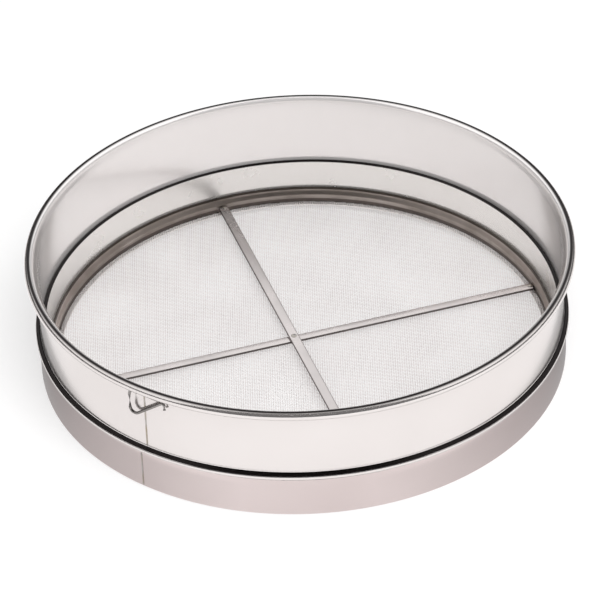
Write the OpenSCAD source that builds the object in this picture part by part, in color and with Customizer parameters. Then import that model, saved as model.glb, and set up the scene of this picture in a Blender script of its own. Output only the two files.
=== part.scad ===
// Drum sieve: a round steel drum with a flat woven sieve just above its foot.
// The foot stands on z = 0 and the drum's axis is Z. Sizes are in millimetres.

/* [Drum] */
// Outer diameter over the rolled rim
drum_d = 300; // [240:1:400]
// Height from the foot to the top of the rim
drum_h = 70.4; // [60:0.2:90]
// Thickness of the sheet that the hoops are rolled from
sheet_t = 0.8; // [0.6:0.1:1]
// Diameter of the wire inside the rolled rim
rim_wire_d = 3.4; // [2.4:0.1:4]

// How far the wall flares out to meet the rolled rim
rim_flare = 2.1; // [1:0.1:3]
// Height of that flare
flare_h = 2.4; // [2.4:0.2:6]

/* [Step between the outer hoops] */
// Height of the face where the two outer hoops meet
joint_z = 24; // [21:0.2:30]
// How far the shoulder's ledge stands out from the upper wall
shoulder_out = 2.8; // [2.7:0.1:3.6]
// Height of the shoulder from the joint to its ledge
shoulder_h = 2.9; // [2.6:0.1:5]
// Radius of the cove between the upper wall and the ledge
cove_r = 1.4; // [0.8:0.1:1.5]
// Outside bend radius of the shoulder
shoulder_r = 1.2; // [1:0.1:1.4]
// Outside bend radius at the top of the base hoop
collar_r = 1.4; // [1.2:0.1:2.6]
// Gap between the base hoop and the rolled rim of a like drum that it nests in
nest_gap = 0.2; // [0.1:0.05:0.6]
// Height of the folded hem at the foot
hem_h = 6; // [4:0.5:10]

/* [Sieve] */
// Width of the folded lip that the sieve hoop forms inside the wall
lip_w = 2.5; // [2.5:0.1:4]
// Height of the lip above the joint
lip_h = 6; // [4:0.2:9]
// Height of the seat that the mesh rests on
seat_z = 4.1; // [3:0.1:7]
// How far the sieve hoop draws in from its neck to its seat
sieve_taper = 3.4; // [1:0.1:4]
// Width of the seat flange under the mesh
seat_w = 3.4; // [2.4:0.1:5]
// Thickness of the woven mesh
mesh_t = 0.5; // [0.3:0.05:0.8]
// Spacing of the net's wires
mesh_pitch = 15.6; // [15:0.1:24]
// Width of one wire of the net
mesh_wire = 1.2; // [0.6:0.1:2]
// Height of the clamp ring that holds the mesh down
clamp_h = 8.6; // [6:0.2:10]
// Thickness of the clamp ring's strip
clamp_t = 0.9; // [0.6:0.1:1.2]
// Inward height of the rib that stiffens the clamp ring
clamp_rib = 0.7; // [0.3:0.1:1]
// Gap between the ends of the split clamp ring
clamp_split = 1.5; // [0.5:0.1:4]

/* [Cross] */
// Width of the two bars of the cross
bar_w = 5.6; // [4:0.1:8]
// Thickness of the bars
bar_t = 1.6; // [1:0.1:2.4]
// Direction of the lower bar, in degrees from X
cross_angle = 16.6; // [0:0.1:90]
// How far the upper bar lies to the side of the drum's axis
upper_bar_off = 4; // [0:0.1:12]
// How far the lower bar lies to the side of the drum's axis
lower_bar_off = 4; // [0:0.1:12]

/* [Seams] */
// Direction of the upper hoop's seam, in degrees from X
upper_seam_az = 234; // [180:0.5:300]
// Direction of the base hoop's seam, in degrees from X
base_seam_az = 232.6; // [180:0.1:300]
// Width of a weld bead at a seam
seam_w = 0.9; // [0.5:0.1:1.6]
// How far a weld bead stands proud of the sheet
seam_proud = 0.15; // [0.05:0.05:0.2]

/* [Hanging loop] */
// Diameter of the loop's wire
loop_wire_d = 1.6; // [1.2:0.1:2]
// Diameter of the hole that the loop hangs in
loop_hole_d = 3; // [2.4:0.1:4]
// Direction of the hole, in degrees from X
loop_az = 238.2; // [180:0.2:300]
// Depth of the loop's neck below the top of the rim
loop_drop = 7.5; // [7.4:0.1:14]
// Reach of the loop from its neck to its far side
loop_reach = 18.5; // [14:0.5:22]
// Length of the loop's far side between its sharp corners
loop_side = 17.9; // [14:0.1:21]
// Length of the free tail past the neck
loop_tail = 4.8; // [4:0.2:9]
// Length of the foot that holds the loop inside the wall
loop_foot = 7; // [4:0.5:10]
// Gap between the loop's wire and the wall
loop_gap = 0.65; // [0.5:0.05:0.8]

/* [Hidden] */
$fn = 96;

// Clearance between pieces that are pushed together by hand
fit = 0.05;
// Angle covered by one straight step of a bend
bend_step = 12;
// Half a sheet, from its middle surface to a face
half_t = sheet_t / 2;
rim_r = drum_d / 2;

// Rolled rim
bead_d = rim_wire_d + 2 * sheet_t;
bead_r = rim_r - bead_d / 2;
bead_z = drum_h - bead_d / 2;
curl_r = rim_wire_d / 2 + half_t;
curl_end = -125;
curl_steps = 26;

// Upper wall and shoulder
wall_mid = bead_r - curl_r - rim_flare;
wall_out = wall_mid + half_t;
wall_in = wall_mid - half_t;
curl_lead = 0.05;
curl_straight = 0.5;
rim_bend = 1;
flare_top_z = bead_z - curl_straight;
flare_low_z = flare_top_z - flare_h;
flare_bend = 4;
upper_flange_z = joint_z + half_t;
ledge_z = joint_z + shoulder_h - half_t;
cove_bend = cove_r + half_t;
shoulder_bend = shoulder_r - half_t;

// Base hoop
skirt_mid = bead_r - bead_d / 2 - nest_gap - half_t;
base_flange_z = joint_z - half_t;
collar_bend = collar_r - half_t;
hem_in_r = 0.15;
hem_bend = half_t + hem_in_r;
hem_gap = 0.8;

// Sieve hoop: its folded lip stands on the upper flange and its neck passes through both flanges
neck_mid = wall_in - lip_w + half_t;
neck_gap = 0.4;
flange_in = neck_mid + half_t + neck_gap;
lip_gap = 0.2;
lip_mid = wall_in - lip_gap - half_t;
lip_bend = 0.7;
lip_foot_z = joint_z + sheet_t;
lip_top_z = joint_z + lip_h - half_t;
lock_gap = 0.4;
lock_top_z = joint_z - sheet_t - lock_gap;
lock_h = 3.6;
lock_out = 1.1;
lock_bend = 0.8;
lock_low_z = lock_top_z - lock_h;
seat_mid_z = seat_z - half_t;
seat_mid_r = neck_mid - sieve_taper;
seat_bend = 0.6;
taper_angle = atan2(sieve_taper, lock_low_z - seat_mid_z);

// Mesh, clamp ring and cross
mesh_top = seat_z + mesh_t;
clamp_off = half_t + fit;
clamp_top = mesh_top + clamp_h;
rib_z = mesh_top + clamp_h / 2;
rib_h = clamp_h / 4;
rib_bend = 1;
mesh_toe = 0.4;
net_border = 1;
sliver = 2;
lower_bar_z = mesh_top;
upper_bar_z = mesh_top + bar_t;
bar_gap = 0.2;
tack_r = 1.5;
tack_top_r = 1.1;
tack_h = 0.7;
weld_mark_d = 3.4;
weld_mark_h = 0.35;

// Hanging loop
loop_r = loop_wire_d / 2;
loop_z = drum_h - loop_drop;
loop_x = wall_out + loop_gap + loop_r;
foot_x = wall_in - loop_gap - loop_r;
loop_rest = 0.15;
hole_past = 2;
loop_rise = 1.6;
loop_bend = 3;
tail_bend = 1.2;
// A wire is a little thicker in its bends, and its straight runs reach into them
bend_swell = 0.06;
run_lap = 0.05;
// The returning wire passes its own neck by tail_gap, which sets where its tail turns down
tail_gap = 0.15;
tail_pass = loop_wire_d + bend_swell + tail_gap;
eye_h = loop_side - loop_rise;
eye_run = sqrt(pow(loop_reach, 2) + pow(eye_h, 2) - pow(tail_pass, 2));
tail_out = tail_pass * (tail_pass * loop_reach + eye_h * eye_run) / (pow(eye_h, 2) - pow(tail_pass, 2));

function unit(v) = v / norm(v);
function left_of(v) = [-v.y, v.x];
function polar(r, a) = [r * cos(a), r * sin(a)];
function turn(a, b) = atan2(a.x * b.y - a.y * b.x, a * b);

// Points along an arc about c
function arc(c, r, from, to, steps) = [for (i = [0:steps]) c + polar(r, from + (to - from) * i / steps)];

// Points of the bend of radius r that rounds the corner q between p and s
function bend(p, q, s, r) =
    let (u = unit(q - p), w = turn(u, unit(s - q)), start = q - u * r * tan(abs(w) / 2))
    let (c = start + left_of(u) * r * sign(w), from = atan2(start.y - c.y, start.x - c.x))
    arc(c, r, from, from + w, max(2, ceil(abs(w) / bend_step)));

// A path through corners p, each rounded by its radius in r
function rounded(p, r) = [
    for (i = [0:len(p) - 1])
        each (r[i] > 0 ? bend(p[i - 1], p[i], p[i + 1], r[i]) : [p[i]])
];

// Sideways step at point i of a path, lengthened where the path turns
function mitre(p, i) =
    let (a = unit(i > 0 ? p[i] - p[i - 1] : p[1] - p[0]))
    let (b = i < len(p) - 1 ? unit(p[i + 1] - p[i]) : a, m = unit(left_of(a) + left_of(b)))
    m / (m * left_of(a));

// Outline of a sheet of thickness t whose middle follows path p
function sheet(p, t) = concat(
    [for (i = [0:len(p) - 1]) p[i] + mitre(p, i) * t / 2],
    [for (i = [len(p) - 1:-1:0]) p[i] - mitre(p, i) * t / 2]
);

// Radius of the tapered sieve wall at height z, moved inward from its middle surface by off
function taper_r(z, off) =
    seat_mid_r + (z - seat_mid_z) * tan(taper_angle) - off / cos(taper_angle);

// Inner face of the clamp ring at height z, without and with its rib
function clamp_face(z) = taper_r(z, clamp_off + clamp_t);
function ring_face(z) = clamp_face(z) - clamp_rib * max(0, 1 - abs(z - rib_z) / rib_h);

curl_path = arc([bead_r, bead_z], curl_r, curl_end, 180, curl_steps);
wall_path = rounded(
    [
        [bead_r - curl_r, bead_z - curl_lead],
        [bead_r - curl_r, flare_top_z],
        [wall_mid, flare_low_z],
        [wall_mid, ledge_z],
        [wall_mid + shoulder_out, ledge_z],
        [wall_mid + shoulder_out, upper_flange_z],
        [flange_in, upper_flange_z]
    ],
    [0, rim_bend, flare_bend, cove_bend, shoulder_bend, shoulder_bend, 0]
);
base_path = rounded(
    [
        [skirt_mid - sheet_t - hem_gap, hem_h],
        [skirt_mid - sheet_t - hem_gap, half_t],
        [skirt_mid, half_t],
        [skirt_mid, base_flange_z],
        [flange_in, base_flange_z]
    ],
    [0, hem_bend, hem_bend, collar_bend, 0]
);
sieve_path = rounded(
    [
        [lip_mid, lip_foot_z],
        [lip_mid, lip_top_z],
        [neck_mid, lip_top_z],
        [neck_mid, lock_top_z],
        [neck_mid + lock_out, lock_top_z - lock_h / 2],
        [neck_mid, lock_low_z],
        [seat_mid_r, seat_mid_z],
        [seat_mid_r - seat_w, seat_mid_z]
    ],
    [0, lip_bend, lip_bend, lock_bend, lock_bend, lock_bend, seat_bend, 0]
);

// The part of the upper wall that the weld closes, from the flare down to the cove
upper_weld_path = [
    [wall_mid, flare_low_z - flare_bend * tan(atan2(rim_flare, flare_h) / 2)],
    [wall_mid, ledge_z + cove_bend]
];

// Angle that width w covers at radius r
function width_angle(w, r) = 2 * asin(w / 2 / r);

// A hoop rolled from a strip, open by width w at direction az
module rolled_hoop(outline, az, w, r) {
    gap = width_angle(w, r);
    rotate([0, 0, az + gap / 2])
        rotate_extrude(angle = 360 - gap, $fn = 180)
            polygon(outline);
}

// The weld that closes such a hoop
module seam_weld(outline, az, w, r) {
    gap = width_angle(w, r);
    rotate([0, 0, az - gap / 2])
        rotate_extrude(angle = gap, $fn = 180)
            polygon(outline);
}

module upper_hoop() {
    color("gainsboro")
        difference() {
            rolled_hoop(sheet(concat(curl_path, wall_path), sheet_t), upper_seam_az, seam_w, wall_mid);
            rotate([0, 0, loop_az])
                translate([wall_in - hole_past, 0, loop_z + loop_hole_d / 2 - loop_r - loop_rest])
                    rotate([0, 90, 0])
                        cylinder(d = loop_hole_d, h = sheet_t + 2 * hole_past);
        }
}

module rim_wire() {
    color("silver")
        rotate_extrude($fn = 180)
            translate([bead_r, bead_z])
                circle(d = rim_wire_d - 2 * fit, $fn = 32);
}

module upper_seam_weld() {
    color("dimgray")
        seam_weld(sheet(upper_weld_path, sheet_t + 2 * seam_proud), upper_seam_az, seam_w, wall_mid);
}

module base_hoop() {
    color("lightgray")
        rolled_hoop(sheet(base_path, sheet_t), base_seam_az, seam_w, wall_mid);
}

module base_seam_weld() {
    weld_low = 2 * sheet_t;
    weld_high = base_flange_z - collar_bend;
    color("dimgray")
        seam_weld(
            sheet([[skirt_mid, weld_low], [skirt_mid, weld_high]], sheet_t + 2 * seam_proud),
            base_seam_az, seam_w, wall_mid
        );
}

module sieve_hoop() {
    color("whitesmoke")
        rotate_extrude($fn = 180)
            polygon(sheet(sieve_path, sheet_t));
}

// Distance from the middle of the net to the nearest corner of opening i, j
function opening_start(i, j, gap) =
    norm([max(0, abs(i) * mesh_pitch - gap / 2), max(0, abs(j) * mesh_pitch - gap / 2)]);

// Square openings of the net, cut off at radius r, without the slivers at its edge
module net_gaps(r) {
    cells = ceil(r / mesh_pitch);
    gap = mesh_pitch - mesh_wire;
    intersection() {
        circle(r = r, $fn = 180);
        for (i = [-cells:cells], j = [-cells:cells])
            if (opening_start(i, j, gap) < r - sliver)
                translate([i * mesh_pitch, j * mesh_pitch])
                    square(gap, center = true);
    }
}

// The net lies flat on its seat, under the clamp ring
module sieve_mesh() {
    edge_r = taper_r(seat_z, half_t) - mesh_toe;
    color("silver")
        translate([0, 0, seat_z])
            linear_extrude(mesh_t)
                difference() {
                    circle(r = edge_r, $fn = 180);
                    net_gaps(clamp_face(mesh_top) - net_border);
                }
}

// A split strip with a rib, sprung against the sieve hoop on top of the mesh
module clamp_ring() {
    mid = clamp_off + clamp_t / 2;
    path = rounded(
        [
            [taper_r(mesh_top, mid), mesh_top],
            [taper_r(rib_z - rib_h, mid), rib_z - rib_h],
            [taper_r(rib_z, mid) - clamp_rib, rib_z],
            [taper_r(rib_z + rib_h, mid), rib_z + rib_h],
            [taper_r(clamp_top, mid), clamp_top]
        ],
        [0, rib_bend, rib_bend, rib_bend, 0]
    );
    color("rosybrown")
        rolled_hoop(above_mesh(sheet(path, clamp_t)), base_seam_az, clamp_split, wall_mid);
}

// Keeps an outline from dipping below the mesh's top
function above_mesh(p) = [for (q = p) [q.x, max(q.y, mesh_top)]];

// Bars stop just short of the clamp ring
function bar_reach(z) = min(ring_face(z), ring_face(z + bar_t)) - bar_gap;

// A bar with round edges, trimmed to follow the clamp ring
module cross_bar(az, off, z) {
    intersection() {
        rotate([0, 0, az])
            translate([-rim_r, off, z + bar_t / 2])
                rotate([90, 0, 90])
                    linear_extrude(drum_d)
                        union() {
                            square([bar_w - bar_t, bar_t], center = true);
                            for (side = [-1, 1])
                                translate([side * (bar_w - bar_t) / 2, 0])
                                    circle(d = bar_t, $fn = 32);
                        }
        translate([0, 0, z - bar_t])
            cylinder(r = bar_reach(z), h = 3 * bar_t, $fn = 180);
    }
}

module cross_bar_lower() {
    color("darkgray")
        cross_bar(cross_angle, lower_bar_off, lower_bar_z);
}

module cross_bar_upper() {
    color("darkgray")
        cross_bar(cross_angle + 90, upper_bar_off, upper_bar_z);
}

// Place where the two bars cross
cross_at = [
    lower_bar_off * -sin(cross_angle) - upper_bar_off * cos(cross_angle),
    lower_bar_off * cos(cross_angle) - upper_bar_off * sin(cross_angle)
];

// Low round mark of the spot weld that joins the bars
module cross_weld() {
    color("dimgray")
        translate([cross_at.x, cross_at.y, upper_bar_z + bar_t])
            cylinder(d1 = weld_mark_d, d2 = weld_mark_d / 2, h = weld_mark_h);
}

// Tacks on both ends of the bar with its top at height z, against the clamp ring
module end_tacks(az, off, z) {
    reach = sqrt(pow(ring_face(z) - tack_r - fit, 2) - pow(off, 2));
    for (side = [-1, 1])
        rotate([0, 0, az])
            translate([side * reach, off, z])
                cylinder(r1 = tack_r, r2 = tack_top_r, h = tack_h, $fn = 48);
}

module bar_end_tacks() {
    color("dimgray") {
        end_tacks(cross_angle, lower_bar_off, lower_bar_z + bar_t);
        end_tacks(cross_angle + 90, upper_bar_off, upper_bar_z + bar_t);
    }
}

// A straight run of wire between two points of the loop's plane
module wire_run(p, q) {
    v = q - p;
    translate([0, p.x, p.y])
        rotate([-atan2(v.x, v.y), 0, 0])
            cylinder(d = loop_wire_d, h = norm(v), $fn = 32);
}

// The bend between two runs of wire, round the corner q
module wire_bend(p, q, s, r) {
    u = unit(q - p);
    w = turn(u, unit(s - q));
    start = q - u * r * tan(abs(w) / 2);
    c = start + left_of(u) * r * sign(w);
    from = atan2(start.y - c.y, start.x - c.x);
    translate([0, c.x, c.y])
        rotate([90, 0, 90])
            rotate([0, 0, w > 0 ? from : from + w])
                rotate_extrude(angle = abs(w), $fn = 96)
                    translate([r, 0])
                        circle(d = loop_wire_d + bend_swell, $fn = 32);
}

// Length that a bend takes from each run at a corner
function bend_take(p, q, s, r) = r * tan(abs(turn(unit(q - p), unit(s - q))) / 2);

// Wire through corners p in the loop's plane, bent with radii r
module bent_wire(p, r) {
    last = len(p) - 1;
    for (i = [0:last - 1]) {
        v = unit(p[i + 1] - p[i]);
        before = i > 0 ? bend_take(p[i - 1], p[i], p[i + 1], r[i]) : 0;
        after = i < last - 1 ? bend_take(p[i], p[i + 1], p[i + 2], r[i + 1]) : 0;
        lap_before = i > 0 ? run_lap : 0;
        lap_after = i < last - 1 ? run_lap : 0;
        wire_run(p[i] + v * (before - lap_before), p[i + 1] - v * (after - lap_after));
    }
    for (i = [1:last - 1])
        wire_bend(p[i - 1], p[i], p[i + 1], r[i]);
}

// A hook of wire: it comes out of the hole, runs round and ends in a short tail under its neck
module hanging_loop() {
    corners = [
        [0, 0],
        [-loop_reach, loop_rise],
        [-loop_reach, loop_rise - loop_side],
        [tail_out, 0],
        [tail_out, -loop_tail]
    ];
    color("gray")
        rotate([0, 0, loop_az])
            translate([0, 0, loop_z])
                union() {
                    translate([loop_x, 0, 0])
                        bent_wire(corners, [0, loop_bend, loop_bend, tail_bend, 0]);
                    translate([loop_x, 0, 0])
                        sphere(d = loop_wire_d + bend_swell, $fn = 64);
                    translate([foot_x, 0, 0])
                        rotate([0, 90, 0])
                            cylinder(d = loop_wire_d, h = loop_x - foot_x, $fn = 32);
                    translate([foot_x, 0, 0])
                        sphere(d = loop_wire_d + bend_swell, $fn = 64);
                    translate([foot_x, 0, 0])
                        rotate([-90, 0, 0])
                            cylinder(d = loop_wire_d, h = loop_foot, $fn = 32);
                }
}

upper_hoop();
rim_wire();
upper_seam_weld();
base_hoop();
base_seam_weld();
sieve_hoop();
sieve_mesh();
clamp_ring();
cross_bar_lower();
cross_bar_upper();
cross_weld();
bar_end_tacks();
hanging_loop();
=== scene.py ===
"""The looks of a drum sieve: rolled steel hoops, a woven cloth under a cross, and a wire loop.

Sizes are in millimetres, as in the part's source, and become metres when a mesh is made.
"""

import logging  # noqa: E402
import math  # noqa: E402
from dataclasses import dataclass  # noqa: E402
from enum import Enum  # noqa: E402
from functools import cache  # noqa: E402
from typing import Sequence  # noqa: E402

import bmesh  # noqa: E402
import bpy  # noqa: E402
import numpy as np  # noqa: E402
from bpy.types import Material, Mesh, Node, NodeSocket, NodeTree, Object  # noqa: E402
from mathutils import Matrix, Vector  # noqa: E402


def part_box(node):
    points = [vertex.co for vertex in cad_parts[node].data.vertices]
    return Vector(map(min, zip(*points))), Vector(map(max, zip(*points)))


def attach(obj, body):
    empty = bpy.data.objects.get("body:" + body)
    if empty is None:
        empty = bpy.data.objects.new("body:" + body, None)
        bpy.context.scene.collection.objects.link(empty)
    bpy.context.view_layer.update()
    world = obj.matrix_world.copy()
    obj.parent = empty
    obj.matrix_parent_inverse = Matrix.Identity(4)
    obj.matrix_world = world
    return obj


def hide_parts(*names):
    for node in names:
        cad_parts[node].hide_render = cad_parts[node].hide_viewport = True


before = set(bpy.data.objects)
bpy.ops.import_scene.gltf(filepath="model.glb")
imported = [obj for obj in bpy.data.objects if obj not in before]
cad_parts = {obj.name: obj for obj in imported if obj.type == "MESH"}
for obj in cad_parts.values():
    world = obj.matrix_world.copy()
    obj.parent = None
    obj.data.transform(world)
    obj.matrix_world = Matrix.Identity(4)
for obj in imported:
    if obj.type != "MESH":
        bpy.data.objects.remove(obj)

MM = 0.001
CARD_DISTANCE = 3.0
log = logging.getLogger("drum_sieve")

Point = tuple[float, float]
Place = tuple[float, float, float]
Colour = tuple[float, float, float]
Path = list[np.ndarray]
Sockets = bpy.types.bpy_prop_collection
Inputs = dict[str | int, object]
Outputs = dict[str, NodeSocket]


class Body(str, Enum):
    """The bodies that pieces ride on."""

    DRUM = "drum"
    LOOP = "loop"


class Slot(str, Enum):
    """The record's material slots."""

    SHEET = "polished_sheet"
    WIRE = "drawn_wire"
    WELD = "weld"
    CLOTH = "woven_mesh"
    STRIP = "dull_strip"
    BAR = "bar_strip"


# Outlines


def unit(v: np.ndarray) -> np.ndarray:
    """Returns v at length 1."""
    return v / np.linalg.norm(v)


def left_of(v: np.ndarray) -> np.ndarray:
    """Returns v turned a quarter to the left."""
    return np.array([-v[1], v[0]])


def turn(a: np.ndarray, b: np.ndarray) -> float:
    """Returns the angle in radians from direction a to direction b."""
    return math.atan2(a[0] * b[1] - a[1] * b[0], float(a @ b))


def arc(centre: Sequence[float], radius: float, start: float, end: float, steps: int) -> Path:
    """Makes the points of an arc.

    Args:
        centre: The arc's centre.
        radius: Its radius.
        start: Its first angle, in radians.
        end: Its last angle, in radians.
        steps: How many straight steps it has.

    Returns:
        The arc's points, one more than its steps.
    """
    angles = np.linspace(start, end, steps + 1)
    return [np.array([centre[0] + radius * math.cos(a), centre[1] + radius * math.sin(a)]) for a in angles]


def bend(p: np.ndarray, q: np.ndarray, s: np.ndarray, radius: float, step_deg: float = 6) -> Path:
    """Rounds the corner q between p and s.

    Args:
        p: The corner before.
        q: The corner that is rounded.
        s: The corner after.
        radius: The bend's radius.
        step_deg: The angle of one straight step.

    Returns:
        The bend's points.
    """
    u = unit(q - p)
    w = turn(u, unit(s - q))
    start = q - u * radius * math.tan(abs(w) / 2)
    centre = start + left_of(u) * radius * math.copysign(1, w)
    first = math.atan2(start[1] - centre[1], start[0] - centre[0])
    return arc(centre, radius, first, first + w, max(2, math.ceil(abs(math.degrees(w)) / step_deg)))


def rounded(corners: Sequence[Point], radii: Sequence[float]) -> Path:
    """Makes a path through corners, each rounded by its radius.

    Args:
        corners: The sharp corners.
        radii: One bend radius for each corner, or 0.

    Returns:
        The path's points.
    """
    p = [np.array(c, float) for c in corners]
    made: Path = []
    for i, radius in enumerate(radii):
        made += bend(p[i - 1], p[i], p[i + 1], radius) if radius > 0 else [p[i]]
    return made


def sheet_outline(path: Path, thickness: float) -> Path:
    """Makes the closed outline of a bent sheet.

    Args:
        path: The points of the sheet's middle surface.
        thickness: The sheet's thickness.

    Returns:
        The points of one face, and then those of the other face backwards.
    """
    steps: Path = []
    for i, point in enumerate(path):
        before = unit(point - path[i - 1]) if i > 0 else unit(path[1] - path[0])
        after = unit(path[i + 1] - point) if i < len(path) - 1 else before
        middle = unit(left_of(before) + left_of(after))
        steps.append(middle / float(middle @ left_of(before)) * thickness / 2)
    return [p + s for p, s in zip(path, steps)] + [p - s for p, s in zip(path[::-1], steps[::-1])]


def spin(degrees: float, size: int = 3) -> Matrix:
    """Returns the matrix of a turn round the drum's axis."""
    return Matrix.Rotation(math.radians(degrees), size, "Z")


# Sizes


@dataclass(frozen=True)
class DrumSizes:
    """The sizes that the sub-assemblies share, as in the part's source.

    Attributes:
        rim_r: Outer radius over the rolled rim, from the frame.
        drum_h: Height of the drum, from the frame.
    """

    rim_r: float
    drum_h: float
    sheet_t: float = 0.8
    rim_wire_d: float = 3.4
    rim_flare: float = 2.1
    flare_h: float = 2.4
    joint_z: float = 24.0
    shoulder_out: float = 2.8
    shoulder_h: float = 2.9
    cove_r: float = 1.4
    shoulder_r: float = 1.2
    collar_r: float = 1.4
    nest_gap: float = 0.2
    hem_h: float = 6.0
    lip_w: float = 2.5
    lip_h: float = 6.0
    lip_gap: float = 0.2
    neck_gap: float = 0.4
    lock_gap: float = 0.4
    lock_h: float = 3.6
    seat_z: float = 4.1
    sieve_taper: float = 3.4
    seat_w: float = 3.4
    mesh_t: float = 0.5
    clamp_h: float = 8.6
    clamp_t: float = 0.9
    clamp_rib: float = 0.7
    clamp_split: float = 1.5
    upper_seam_az: float = 234.0
    base_seam_az: float = 232.6
    loop_az: float = 238.2
    loop_drop: float = 7.5
    fit: float = 0.05

    @classmethod
    def from_frame(cls) -> "DrumSizes":
        """Reads the drum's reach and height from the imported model."""
        low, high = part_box("upper_hoop")
        return cls(rim_r=round((high.x - low.x) / 2 / MM, 1), drum_h=round(high.z / MM, 2))

    @property
    def half_t(self) -> float:
        """Half the sheet's thickness."""
        return self.sheet_t / 2

    @property
    def bead_d(self) -> float:
        """Diameter of the rolled bead."""
        return self.rim_wire_d + 2 * self.sheet_t

    @property
    def bead_r(self) -> float:
        """Distance of the bead's middle from the axis."""
        return self.rim_r - self.bead_d / 2

    @property
    def bead_z(self) -> float:
        """Height of the bead's middle."""
        return self.drum_h - self.bead_d / 2

    @property
    def curl_r(self) -> float:
        """Radius of the curl's middle surface."""
        return self.rim_wire_d / 2 + self.half_t

    @property
    def wall_mid(self) -> float:
        """Radius of the upper wall's middle surface."""
        return self.bead_r - self.curl_r - self.rim_flare

    @property
    def wall_in(self) -> float:
        """Radius of the upper wall's inner face."""
        return self.wall_mid - self.half_t

    @property
    def neck_mid(self) -> float:
        """Radius of the sieve hoop's neck."""
        return self.wall_in - self.lip_w + self.half_t

    @property
    def flange_in(self) -> float:
        """Inner radius of the two flanges between the outer hoops."""
        return self.neck_mid + self.half_t + self.neck_gap

    @property
    def skirt_mid(self) -> float:
        """Radius of the base hoop's middle surface."""
        return self.rim_r - self.bead_d - self.nest_gap - self.half_t

    @property
    def mesh_top(self) -> float:
        """Height of the woven cloth's top."""
        return self.seat_z + self.mesh_t

    @property
    def clamp_off(self) -> float:
        """Distance of the clamp ring's back from the sieve hoop's middle surface."""
        return self.half_t + self.fit

    @property
    def rib(self) -> Point:
        """Middle height and half height of the clamp ring's rib."""
        return self.mesh_top + self.clamp_h / 2, self.clamp_h / 4

    @property
    def lock_top_z(self) -> float:
        """Height where the sieve hoop's locking bead starts."""
        return self.joint_z - self.sheet_t - self.lock_gap

    @property
    def lock_low_z(self) -> float:
        """Height where the sieve hoop's tapered wall starts."""
        return self.lock_top_z - self.lock_h

    def taper_r(self, z: float, off: float) -> float:
        """Finds a radius on the sieve hoop's tapered wall.

        Args:
            z: The height.
            off: How far inward of the wall's middle surface.

        Returns:
            The radius there.
        """
        seat_mid_z = self.seat_z - self.half_t
        slope = self.sieve_taper / (self.lock_low_z - seat_mid_z)
        return self.neck_mid - self.sieve_taper + (z - seat_mid_z) * slope - off * math.hypot(1, slope)


# Meshes


def object_of(name: str, data: bpy.types.ID) -> Object:
    """Makes an object and links it to the scene.

    Args:
        name: The object's name.
        data: Its mesh, curve, lamp or camera.

    Returns:
        The new object.
    """
    made = bpy.data.objects.new(name, data)
    bpy.context.scene.collection.objects.link(made)
    return made


def mesh_of(name: str, work: bmesh.types.BMesh) -> Mesh:
    """Turns finished work into a mesh.

    Args:
        name: The mesh's name.
        work: The work, which is freed.

    Returns:
        The new mesh.
    """
    mesh = bpy.data.meshes.new(name)
    work.to_mesh(mesh)
    work.free()
    return mesh


def soften(mesh: Mesh, sharp_deg: float = 40) -> Mesh:
    """Shades a mesh smooth, apart from its sharp edges.

    Args:
        mesh: The mesh.
        sharp_deg: The angle from which an edge is sharp.

    Returns:
        The same mesh.
    """
    mesh.polygons.foreach_set("use_smooth", [True] * len(mesh.polygons))
    mesh.set_sharp_from_angle(angle=math.radians(sharp_deg))
    return mesh


def face_outwards(mesh: Mesh) -> Mesh:
    """Turns the faces of a closed mesh outwards.

    Args:
        mesh: The mesh.

    Returns:
        The same mesh.
    """
    work = bmesh.new()
    work.from_mesh(mesh)
    bmesh.ops.recalc_face_normals(work, faces=work.faces)
    work.to_mesh(mesh)
    work.free()
    return mesh


def rolled(name: str, outline: Path, seam_az: float = 0, gap: float = 0, steps: int = 360) -> Object:
    """Rolls an outline round the drum's axis, with a UV map in metres along the strip.

    Args:
        name: The object's name.
        outline: Closed outline as (radius, height), in millimetres.
        seam_az: Direction of the seam, in degrees from X.
        gap: Width of the open seam, or 0 for a closed ring.
        steps: How many steps go round.

    Returns:
        The new object.
    """
    points = np.array(outline)
    count = len(points)
    mean_r = float(points[:, 0].mean())
    half_gap = math.degrees(gap / 2 / mean_r)
    turns = np.radians(np.linspace(seam_az + half_gap, seam_az + 360 - half_gap, steps + 1))
    rings = turns if gap else turns[:-1]
    verts = [(r * math.cos(a) * MM, r * math.sin(a) * MM, z * MM) for a in rings for r, z in points]
    faces = []
    for i in range(steps):
        here, there = (k % len(rings) * count for k in (i, i + 1))
        faces += [[here + j, there + j, there + (j + 1) % count, here + (j + 1) % count] for j in range(count)]
    if gap:
        faces += [list(range(count)), [steps * count + j for j in range(count)]]
    mesh = bpy.data.meshes.new(name)
    mesh.from_pydata(verts, [], faces)
    run = np.concatenate([[0], np.cumsum(np.linalg.norm(np.roll(points, -1, axis=0) - points, axis=1))])
    u, v = turns * mean_r * MM, run * MM
    flat = [value for i in range(steps) for j in range(count)
            for value in (u[i], v[j], u[i + 1], v[j], u[i + 1], v[j + 1], u[i], v[j + 1])]
    flat += [0.0] * (2 * len(mesh.loops) - len(flat))
    mesh.uv_layers.new(name="strip").data.foreach_set("uv", flat)
    return object_of(name, soften(face_outwards(mesh)))


def baked(made: Object) -> Object:
    """Turns an object's live modifiers into a plain mesh of the same name.

    Args:
        made: The object with the modifiers, which is removed.

    Returns:
        A new object with the finished mesh.
    """
    bpy.context.view_layer.update()
    graph = bpy.context.evaluated_depsgraph_get()
    mesh = bpy.data.meshes.new_from_object(made.evaluated_get(graph), depsgraph=graph)
    name = made.name
    bpy.data.objects.remove(made)
    mesh.name = name
    return object_of(name, mesh)


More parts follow.
